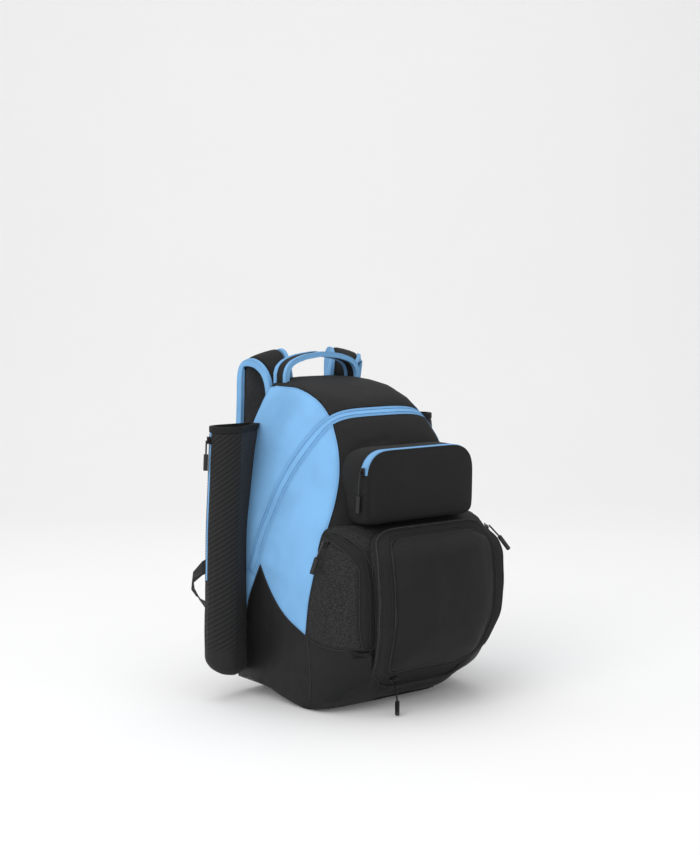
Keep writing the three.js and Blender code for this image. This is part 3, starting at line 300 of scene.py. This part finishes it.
def fineMesh(node, spacing, crease):
    bm = bmesh.new()
    bm.from_mesh(nodes[node].data)
    bmesh.ops.remove_doubles(bm, verts=bm.verts, dist=meshing["doubles"])
    bm.normal_update()
    solidFaces(bm, crease)
    corner = bm.verts.layers.int.new("corner")
    for vert in bm.verts:
        sharp = [edge for edge in vert.link_edges if not edge.smooth]
        if len(sharp) == 2:
            arms = [edge.other_vert(vert).co - vert.co for edge in sharp]
            real = arms[0].length > 1e-7 and arms[1].length > 1e-7
            bend = math.radians(meshing["straight"])
            vert[corner] = int(not real or arms[0].angle(arms[1]) < bend)
        elif sharp:
            vert[corner] = 1
    for _ in range(meshing["rounds"]):
        long = [edge for edge in bm.edges if edge.calc_length() > spacing]
        if not long:
            break
        bmesh.ops.subdivide_edges(bm, edges=long, cuts=1)
        bmesh.ops.triangulate(bm, faces=[face for face in bm.faces if len(face.verts) > 3])
    bm.verts.index_update()
    return bm


def relaxed(co, edges, sharp, pinned, passes):
    count = len(co)
    sharpEnds = np.bincount(edges[sharp].ravel(), minlength=count)
    used = np.where(sharpEnds[edges[:, 0]] > 0, sharp, True)
    usedBack = np.where(sharpEnds[edges[:, 1]] > 0, sharp, True)
    fixed = pinned | ((sharpEnds > 0) & (sharpEnds != 2))
    a, b = edges[:, 0], edges[:, 1]
    weight = np.bincount(a, used, count) + np.bincount(b, usedBack, count)
    weight[weight == 0] = 1
    for _ in range(passes):
        total = np.empty_like(co)
        for k in range(3):
            total[:, k] = np.bincount(a, used * co[b, k], count)
            total[:, k] += np.bincount(b, usedBack * co[a, k], count)
        step = meshing["step"] * (total / weight[:, None] - co)
        step[fixed] = 0
        co = co + step
    return co


def outward(co):
    away = (co - bagMiddle) / bagHalf
    return away / np.maximum(1e-6, np.linalg.norm(away, axis=1))[:, None]


# Ripples: a mean of sine waves in random directions, of lengths spread about the one asked for
rippleMix = {"waves": 9, "spread": (0.7, 1.5), "gain": 1.7}


def ripples(co, length, seed):
    chance = np.random.default_rng(seed)
    count = rippleMix["waves"]
    aims = chance.normal(size=(count, 3))
    aims /= np.linalg.norm(aims, axis=1)[:, None]
    rates = 2 * math.pi / (length * chance.uniform(*rippleMix["spread"], count))
    starts = chance.uniform(0, 2 * math.pi, count)
    return np.sin(co @ (aims * rates[:, None]).T + starts).mean(axis=1) * rippleMix["gain"]


def solidTree(names):
    verts, faces = [], []
    for name in names:
        base = len(verts)
        verts += [tuple(v.co) for v in nodes[name].data.vertices]
        faces += [tuple(base + i for i in p.vertices) for p in nodes[name].data.polygons]
    return BVHTree.FromPolygons(verts, faces)


surface = solidTree(nodes)


# A point of the photograph, followed back to the solids
def onBag(px, py):
    right, up, back = cameraAxes()
    reach = viewpoint["lens"] / viewpoint["sensor"] * viewpoint["image"][1]
    across, down = (size / 2 for size in viewpoint["image"])
    aim = right * ((px - across) / reach) - up * ((py - down) / reach) - back
    return surface.ray_cast(Vector(viewpoint["spot"]), aim.normalized())[0]


# Folds read from the photograph: ends in its pixels, then depth and half-width in metres
folds = [
    ((357, 448), (389, 438.5), -0.0022, 0.0035),
    ((352, 455), (384, 444.5), 0.0012, 0.0045),
    ((341, 522), (361, 519), -0.002, 0.0035),
    ((343, 514), (360, 512), 0.001, 0.004),
    ((345, 500), (361, 476), -0.001, 0.005),
    ((378, 462), (382, 471), -0.0012, 0.002),
    ((371, 492), (380, 490), -0.0008, 0.002),
    ((370, 508), (379, 506), -0.0008, 0.002),
    ((299, 680), (311, 684), -0.0016, 0.0032),
    ((303, 689), (311, 689), -0.0012, 0.0025),
    ((293, 672), (309, 676), 0.001, 0.004),
    ((330, 505), (341, 480), 0.0008, 0.006),
    ((262, 430), (300, 392), 0.0008, 0.009),
]


# A fold keeps its depth over this share on both sides of its middle, then fades at this rate
foldEnds = {"full": 0.35, "fade": 5}


def folded(co, away):
    moved = co.copy()
    for first, last, depth, width in folds:
        ends = onBag(*first), onBag(*last)
        if ends[0] is None or ends[1] is None:
            continue
        start, end = (np.array(p) for p in ends)
        line = end - start
        share = ((co - start) @ line) / (line @ line)
        near = start + np.clip(share, 0, 1)[:, None] * line
        gap = np.linalg.norm(co - near, axis=1)
        past = np.clip(np.abs(share - 0.5) - foldEnds["full"], 0, None)
        fade = np.exp(-np.square(past * foldEnds["fade"]))
        moved += away * (depth * np.exp(-np.square(gap / width)) * fade)[:, None]
    return moved


# How a lip is drawn to its neighbour: search reach, fade from the rim, rearmost place, smallest gap
# that is closed and the gap that stays, all in metres
drawing = {"reach": 0.03, "fade": 0.014, "rearmost": -0.06, "least": 0.0012, "left": 0.0008}


def drawnTo(co, gap, targets):
    tree = solidTree(targets)
    moved = co.copy()
    for n, point in enumerate(co):
        if gap[n] > 2.5 * drawing["fade"] or point[1] > drawing["rearmost"]:
            continue
        near = tree.find_nearest(Vector(point), drawing["reach"])
        if near[0] is not None and near[3] > drawing["least"]:
            pull = math.exp(-(gap[n] / drawing["fade"]) ** 2) * (1 - drawing["left"] / near[3])
            moved[n] += (np.array(near[0]) - point) * pull
    return moved


# Seam lines: the creases round a panel's outer faces, from this length up. What lies along them is
# lifted off the cloth
seamLeast = {"length": 0.03, "points": 4}
lineLift = 0.0002


def rimChains(bm):
    links = {}
    for edge in bm.edges:
        if edge.smooth or len(edge.link_faces) != 2:
            continue
        faces = [face for face in edge.link_faces if face.material_index == 0]
        if not faces:
            continue
        for vert in edge.verts:
            links.setdefault(vert, []).append(edge)
    chains, taken = [], set()
    starts = [v for v, e in links.items() if len(e) != 2] + list(links)
    for start in starts:
        for edge in links[start]:
            if edge in taken:
                continue
            run, vert = [], start
            while edge is not None and edge not in taken:
                taken.add(edge)
                face = next(f for f in edge.link_faces if f.material_index == 0)
                inset = face.normal.cross(edge.verts[1].co - edge.verts[0].co).normalized()
                if inset.dot(face.calc_center_median() - edge.verts[0].co) < 0:
                    inset.negate()
                run.append((vert.co.copy(), inset))
                vert = edge.other_vert(vert)
                onward = [e for e in links[vert] if e not in taken]
                edge = onward[0] if len(links[vert]) == 2 and onward else None
            closed = vert is start
            if not closed:
                run.append((vert.co.copy(), run[-1][1]))
            points, insets = (np.array([tuple(r[k]) for r in run]) for k in range(2))
            length = np.linalg.norm(np.diff(points, axis=0), axis=1).sum()
            if length > seamLeast["length"] and len(points) >= seamLeast["points"]:
                chains.append({"points": points, "inset": averaged(insets, closed), "closed": closed,
                               "length": length})
    return chains


def averaged(rows, closed, passes=4):
    for _ in range(passes):
        if closed:
            rows = rows + np.roll(rows, 1, axis=0) + np.roll(rows, -1, axis=0)
        else:
            padded = np.vstack([rows[:1], rows, rows[-1:]])
            rows = padded[:-2] + padded[1:-1] + padded[2:]
        rows = rows / np.maximum(1e-9, np.linalg.norm(rows, axis=1))[:, None]
    return rows


def beside(node, chain, inset):
    points = chain["points"] + chain["inset"] * inset
    laid = []
    for point in points:
        spot, normal, _, _ = clothTrees[node].find_nearest(Vector(point))
        laid.append(spot + normal * lineLift)
    return np.array([tuple(p) for p in laid]), chain["closed"]


seamSamples = (0.0, 0.33, 0.67)
farFromSeam = 0.05


def seamDistance(co, chains):
    samples = []
    for chain in chains:
        points = chain["points"]
        if chain["closed"]:
            points = np.vstack([points, points[:1]])
        for share in seamSamples:
            samples.append(points[:-1] * (1 - share) + points[1:] * share)
    if not samples:
        return np.full(len(co), farFromSeam)
    samples = np.vstack(samples)
    tree = KDTree(len(samples))
    for n, point in enumerate(samples):
        tree.insert(point, n)
    tree.balance()
    return np.array([tree.find(point)[2] for point in co])


def setFloat(mesh, name, values):
    mesh.attributes.new(name, "FLOAT", "POINT").data.foreach_set("value", np.asarray(values, np.float32))


# Unevenness of the cloth: two ripple lengths with their seeds, the finer one's share, how far from a
# seam it grows, and the lowest level of any cloth, all lengths in metres
unevenness = {"long": (0.085, 3), "short": (0.032, 5), "share": 0.4, "grow": 0.012, "lowest": 0.0004}


def dressedPiece(node, row):
    bm = fineMesh(node, row["spacing"], math.radians(row["crease"]))
    bm.verts.ensure_lookup_table()
    co = np.array([v.co for v in bm.verts])
    edges = np.array([(e.verts[0].index, e.verts[1].index) for e in bm.edges])
    sharp = np.array([not e.smooth for e in bm.edges])
    corner = bm.verts.layers.int["corner"]
    pinned = np.array([v[corner] == 1 and not row.get("free") for v in bm.verts])
    co = relaxed(co, edges, sharp, pinned, row["passes"])
    for vert, spot in zip(bm.verts, co):
        vert.co = spot
    bm.normal_update()
    chains = rimChains(bm)
    gap = seamDistance(co, chains)
    if "drawn" in row:
        co = drawnTo(co, gap, row["drawn"])
    away = outward(co)
    outer = np.array([any(f.material_index == 0 for f in v.link_faces) for v in bm.verts])
    normals = np.array([v.normal for v in bm.verts])
    rise = np.where(outer, row["puff"] * (1 - np.exp(-gap / row["roll"])), 0)
    soft = 1 - np.exp(-gap / unevenness["grow"])
    co = co + normals * rise[:, None]
    finer = unevenness["share"] * ripples(co, *unevenness["short"])
    wave = row["wave"] * (ripples(co, *unevenness["long"]) + finer)
    co = co + away * (wave * soft)[:, None]
    co = folded(co, away)
    co[:, 2] = np.maximum(co[:, 2], unevenness["lowest"])  # the base lies flat on the surface
    for vert, spot in zip(bm.verts, co):
        vert.co = spot
    for face in bm.faces:
        face.smooth = True
        face.material_index = 0
    clothTrees[node] = BVHTree.FromBMesh(bm)
    mesh = bpy.data.meshes.new(node + "_cloth")
    bm.to_mesh(mesh)
    bm.free()
    setFloat(mesh, "seam", gap)
    if row.get("girth"):
        side = math.copysign(1, co[:, 0].mean())
        middle = np.array([co[:, 0].min() + co[:, 0].max(), co[:, 1].min() + co[:, 1].max()]) / 2
        angle = np.arctan2(co[:, 0] - middle[0], -(co[:, 1] - middle[1]))
        setFloat(mesh, "girth", side * angle * row["girth"])
    mesh.materials.append(finishes[row["finish"]])
    piece = bpy.data.objects.new(node + "_cloth", mesh)
    scene.collection.objects.link(piece)
    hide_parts(node)
    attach(piece, "root")
    return piece, chains


# A panel's row: mesh spacing, crease angle in degrees, smoothing passes, swell and how far from a seam
# it rolls off, ripple depth, and the stitch rows' insets from its seams, lengths in metres
def rowOf(slot, spacing, crease, passes, puff, roll, wave, **more):
    row = {"slot": slot, "finish": slot, "spacing": spacing, "crease": crease, "passes": passes,
           "puff": puff, "roll": roll, "wave": wave, "stitch": (0.0025,)}
    row.update(more)
    return row


panels = {
    "top_panel": rowOf("black", 0.0072, 45, 16, 0.0012, 0.006, 0.0006),
    "front_panel": rowOf("black", 0.0072, 45, 16, 0.0012, 0.006, 0.0009),
    "back_panel": rowOf("black", 0.01, 45, 4, 0.0005, 0.006, 0.0),
    "main_zip_tape": rowOf("blue", 0.006, 45, 12, 0.0, 0.002, 0.0003, stitch=(0.0018,)),
    "base_tub": rowOf("coated", 0.0072, 45, 16, 0.001, 0.006, 0.0012,
                      drawn=("centre_pocket_gusset", "centre_pocket_zip")),
    "front_yoke": rowOf("melange", 0.006, 45, 12, 0.0008, 0.005, 0.0006),
    "centre_pocket_gusset": rowOf("melange", 0.006, 45, 12, 0.0004, 0.004, 0.0003),
    "centre_pocket_zip": rowOf("black", 0.004, 45, 8, 0.0003, 0.003, 0.0, stitch=()),
    "centre_pocket_panel": rowOf("black", 0.006, 45, 12, 0.0016, 0.006, 0.0006),
    "top_pocket_body": rowOf("black", 0.006, 45, 12, 0.0012, 0.005, 0.0007),
    "top_pocket_zip": rowOf("blue", 0.004, 45, 6, 0.0, 0.002, 0.0, stitch=(0.0015,)),
    "haul_handle": rowOf("black", 0.004, 60, 8, 0.0, 0.003, 0.0),
    "handle_binding_front": rowOf("blue", 0.004, 60, 8, 0.0, 0.003, 0.0),
    "handle_binding_back": rowOf("blue", 0.004, 60, 8, 0.0, 0.003, 0.0),
    "back_pad": rowOf("mesh", 0.0072, 45, 12, 0.004, 0.012, 0.0008, stitch=(0.006,)),
}
for side in ("right", "left"):
    panels["side_panel_" + side] = rowOf("blue", 0.0072, 45, 16, 0.0012, 0.007, 0.0009)
    panels["side_pocket_" + side] = rowOf("melange", 0.006, 45, 14, 0.0007, 0.006, 0.0004)
    panels["side_pocket_zip_" + side] = rowOf("black", 0.006, 45, 12, 0.0002, 0.003, 0.0002,
                                              stitch=(0.002,))
    panels["bat_sleeve_" + side] = rowOf("melange", 0.004, 45, 16, 0.0, 0.004, 0.0008, finish="sleeve",
                                         girth=0.03)
    panels["sleeve_hem_" + side] = rowOf("black", 0.006, 45, 10, 0.0004, 0.003, 0.0, stitch=(0.0015,))
    panels["sleeve_zip_tape_" + side] = rowOf("blue", 0.006, 45, 2, 0.0, 0.002, 0.0, stitch=())
    panels["shoulder_strap_" + side] = rowOf("black", 0.006, 60, 14, 0.0012, 0.008, 0.0,
                                             stitch=(0.004,), free=True)
    panels["strap_mesh_" + side] = rowOf("mesh", 0.006, 60, 14, 0.0006, 0.006, 0.0, stitch=(), free=True)
    for edge in ("inner", "outer"):
        panels["strap_binding_" + edge + "_" + side] = rowOf("blue", 0.005, 60, 14, 0.0, 0.003, 0.0,
                                                             stitch=(), free=True)
    panels["strap_webbing_" + side] = rowOf("webbing", 0.006, 45, 12, 0.0, 0.003, 0.0, stitch=())

chainsOf = {}
clothTrees = {}
for node, row in panels.items():
    piece, chainsOf[node] = dressedPiece(node, row)
print("panels dressed:", len(panels))


# Geometry Nodes: stitches and cords along lines
def newTree(name, sizes):
    tree = bpy.data.node_groups.new(name, "GeometryNodeTree")
    tree.interface.new_socket("Geometry", in_out="INPUT", socket_type="NodeSocketGeometry")
    for label in sizes:
        tree.interface.new_socket(label, in_out="INPUT", socket_type="NodeSocketFloat")
    tree.interface.new_socket("Material", in_out="INPUT", socket_type="NodeSocketMaterial")
    tree.interface.new_socket("Geometry", in_out="OUTPUT", socket_type="NodeSocketGeometry")
    return tree


def wire(tree, kind, settings=None, inputs=None):
    node = tree.nodes.new(kind)
    for key, value in (settings or {}).items():
        setattr(node, key, value)
    for key, value in (inputs or {}).items():
        if isinstance(value, bpy.types.NodeSocket):
            tree.links.new(value, node.inputs[key])
        else:
            node.inputs[key].default_value = value
    return node


def stitchTree():
    tree = newTree("stitchRows", ("Stitch", "Gap", "Thread"))
    given = wire(tree, "NodeGroupInput").outputs
    step = wire(tree, "ShaderNodeMath", {"operation": "ADD"}, {0: given["Stitch"], 1: given["Gap"]})
    half = wire(tree, "ShaderNodeMath", {"operation": "MULTIPLY"}, {0: given["Stitch"], 1: 0.5})
    line = wire(tree, "GeometryNodeMeshToCurve", inputs={"Mesh": given["Geometry"]})
    dots = wire(tree, "GeometryNodeCurveToPoints", {"mode": "LENGTH"},
                {"Curve": line.outputs[0], "Length": step.outputs[0]})
    size = wire(tree, "ShaderNodeCombineXYZ",
                inputs={0: given["Thread"], 1: given["Thread"], 2: half.outputs[0]})
    bead = wire(tree, "GeometryNodeMeshUVSphere", inputs={"Segments": 4, "Rings": 3, "Radius": 1.0})
    rows = wire(tree, "GeometryNodeInstanceOnPoints",
                inputs={"Points": dots.outputs["Points"], "Instance": bead.outputs[0],
                        "Rotation": dots.outputs["Rotation"], "Scale": size.outputs[0]})
    real = wire(tree, "GeometryNodeRealizeInstances", inputs={0: rows.outputs[0]})
    done = wire(tree, "GeometryNodeSetMaterial", inputs={0: real.outputs[0], "Material": given["Material"]})
    wire(tree, "NodeGroupOutput", inputs={0: done.outputs[0]})
    return tree


def cordTree():
    tree = newTree("cordRuns", ("Radius", "Step"))
    given = wire(tree, "NodeGroupInput").outputs
    line = wire(tree, "GeometryNodeMeshToCurve", inputs={"Mesh": given["Geometry"]})
    even = wire(tree, "GeometryNodeResampleCurve", {"mode": "LENGTH"},
                {"Curve": line.outputs[0], "Length": given["Step"]})
    ring = wire(tree, "GeometryNodeCurvePrimitiveCircle", {"mode": "RADIUS"},
                {"Resolution": 8, "Radius": given["Radius"]})
    tube = wire(tree, "GeometryNodeCurveToMesh",
                inputs={"Curve": even.outputs[0], "Profile Curve": ring.outputs[0], "Fill Caps": True})
    real = wire(tree, "GeometryNodeRealizeInstances", inputs={0: tube.outputs[0]})
    done = wire(tree, "GeometryNodeSetMaterial", inputs={0: real.outputs[0], "Material": given["Material"]})
    wire(tree, "NodeGroupOutput", inputs={0: done.outputs[0]})
    return tree


def alongLines(name, tree, lines, sizes, finish):
    verts, edges = [], []
    for points, closed in lines:
        base = len(verts)
        verts += [tuple(p) for p in points]
        edges += [(base + n, base + n + 1) for n in range(len(points) - 1)]
        if closed:
            edges.append((base + len(points) - 1, base))
    mesh = bpy.data.meshes.new(name + "Path")
    mesh.from_pydata(verts, edges, [])
    path = bpy.data.objects.new(name + "Path", mesh)
    scene.collection.objects.link(path)
    modifier = path.modifiers.new("rows", "NODES")
    modifier.node_group = tree
    values = {**sizes, "Material": finishes[finish]}
    for item in tree.interface.items_tree:
        if item.in_out == "INPUT" and item.name in values:
            modifier[item.identifier] = values[item.name]
    bpy.context.view_layer.update()
    graph = bpy.context.evaluated_depsgraph_get()
    made = bpy.data.meshes.new_from_object(path.evaluated_get(graph))
    made.name = name
    bpy.data.objects.remove(path)
    bpy.data.meshes.remove(mesh)
    for face in made.polygons:
        face.use_smooth = True
    piece = bpy.data.objects.new(name, made)
    scene.collection.objects.link(piece)
    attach(piece, "root")
    print(name, len(made.polygons), "faces")


stitching = {"Stitch": 0.0027, "Gap": 0.0013, "Thread": 0.00032}
stitchLines = {"thread": [], "blueThread": []}
for node, row in panels.items():
    for chain in chainsOf[node]:
        for inset in row["stitch"]:
            kind = "blueThread" if row["slot"] == "blue" else "thread"
            stitchLines[kind].append(beside(node, chain, inset))
# Cord lines: radius, finish and slot. The thin dark cords along the middle of the zips are painted shadow
# lines where the two lips meet. Then each panel's lines with their insets from its seams
cordLines = {"piping": (0.0008, "piping", "black"), "zipShadowLine": (0.0006, "zipShadow", "black"),
             "blueZipShadow": (0.0006, "blueZipShadow", "blue")}
cordPlaces = {
    "side_pocket_zip_left": (("piping", 0.0004), ("zipShadowLine", 0.0085)),
    "side_pocket_zip_right": (("piping", 0.0004), ("zipShadowLine", 0.0085)),
    "centre_pocket_zip": (("piping", 0.0004), ("zipShadowLine", 0.007)),
    "centre_pocket_panel": (("piping", 0.0004),),
    "front_yoke": (("piping", 0.0004),),
    "base_tub": (("piping", 0.0004),),
    "main_zip_tape": (("blueZipShadow", 0.0045),),
}
cordRuns = {kind: [] for kind in cordLines}
cordLeast = {"length": 0.12, "top": 0.02}
for node, places in cordPlaces.items():
    for chain in chainsOf[node]:
        if chain["length"] > cordLeast["length"] and chain["points"][:, 2].max() > cordLeast["top"]:
            for kind, inset in places:
                cordRuns[kind].append(beside(node, chain, inset))
# The tub's left front corner seam, in pixels of the photograph, stood a little off the cloth
seamProud = 0.0012
cornerSeam = ((307.5, 637), (308.6, 650), (309.6, 663), (310.4, 676), (310.8, 690), (309.5, 703))
spots = [onBag(*pixel) for pixel in cornerSeam]
towards = np.array(cameraAxes()[2]) * seamProud
cordRuns["piping"].append((np.array([tuple(p) for p in spots if p is not None]) + towards, False))
cordStep = 0.004
runs = cordTree()
for kind, (radius, finish, slot) in cordLines.items():
    alongLines(kind + "_lines", runs, cordRuns[kind], {"Radius": radius, "Step": cordStep}, finish)
rows = stitchTree()
alongLines("black_stitching", rows, stitchLines["thread"], stitching, "thread")
alongLines("blue_stitching", rows, stitchLines["blueThread"], stitching, "blueThread")

# Carried-over solids keep their shape and get their own finish
hardNodes = {"slider": "metal", "pull": "plastic", "lock": "plastic"}
for name, obj in nodes.items():
    for word, finish in hardNodes.items():
        if word in name and name not in panels:
            obj.data.materials.clear()
            obj.data.materials.append(finishes[finish])

# Studio: a pale sweep and soft lamps
studio = {"floor": (0.86, 0.86, 0.86), "reach": 6.0, "behind": 0.35, "bend": 1.2, "turn": 40,
          "top": 5.0, "bendSteps": 16, "patch": 0.4, "patchTone": 1.02, "rough": (0.85, 0.95),
          "glow": 0.07, "sky": 0.6, "aim": (0, 0, 0.25)}


def makeSweep():
    turn = Matrix.Rotation(-math.radians(studio["turn"]), 3, "Z")
    foot = studio["reach"] * studio["behind"]
    profile = [(-studio["reach"], 0.0), (foot, 0.0)]
    for n in range(1, studio["bendSteps"] + 1):
        angle = math.radians(90) * n / studio["bendSteps"]
        profile.append((foot + studio["bend"] * math.sin(angle), studio["bend"] * (1 - math.cos(angle))))
    profile.append((profile[-1][0], studio["top"]))
    verts, faces = [], []
    for away, high in profile:
        for across in (-studio["reach"], studio["reach"]):
            verts.append(turn @ Vector((across, away, high)))
    for n in range(len(profile) - 1):
        faces.append((2 * n, 2 * n + 1, 2 * n + 3, 2 * n + 2))
    mesh = bpy.data.meshes.new("sweep")
    mesh.from_pydata(verts, [], faces)
    f = Finish("paleSweep")
    paper = f.grain(studio["patch"], 2.0)
    shade = f.blend(paper, (*studio["floor"], 1), tone(studio["floor"], studio["patchTone"]))
    mesh.materials.append(f.close(shade, f.span(paper, *noiseRange, *studio["rough"]),
                                  Emission_Color=(1, 1, 1, 1), Emission_Strength=studio["glow"]))
    for face in mesh.polygons:
        face.use_smooth = True
    sweep = bpy.data.objects.new("sweep", mesh)
    scene.collection.objects.link(sweep)


lamps = {
    "keyLamp": {"spot": (-2.8, -0.9, 2.3), "size": 2.4, "power": 46},
    "fillLamp": {"spot": (-0.8, -3.0, 1.6), "size": 2.6, "power": 6},
    "topLamp": {"spot": (0.2, 0.4, 3.2), "size": 2.8, "power": 34},
}


def makeLights():
    for name, lamp in lamps.items():
        data = bpy.data.lights.new(name, "AREA")
        data.shape = "SQUARE"
        data.size = lamp["size"]
        data.energy = lamp["power"]
        light = bpy.data.objects.new(name, data)
        scene.collection.objects.link(light)
        aim = Vector(studio["aim"]) - Vector(lamp["spot"])
        light.rotation_euler = aim.to_track_quat("-Z", "Y").to_euler()
        light.location = lamp["spot"]
    world = bpy.data.worlds.new("paleRoom")
    world.use_nodes = True
    sky = world.node_tree.nodes["Background"]
    sky.inputs[0].default_value = (1, 1, 1, 1)
    sky.inputs[1].default_value = studio["sky"]
    scene.world = world


makeSweep()
makeLights()
print("studio lit")
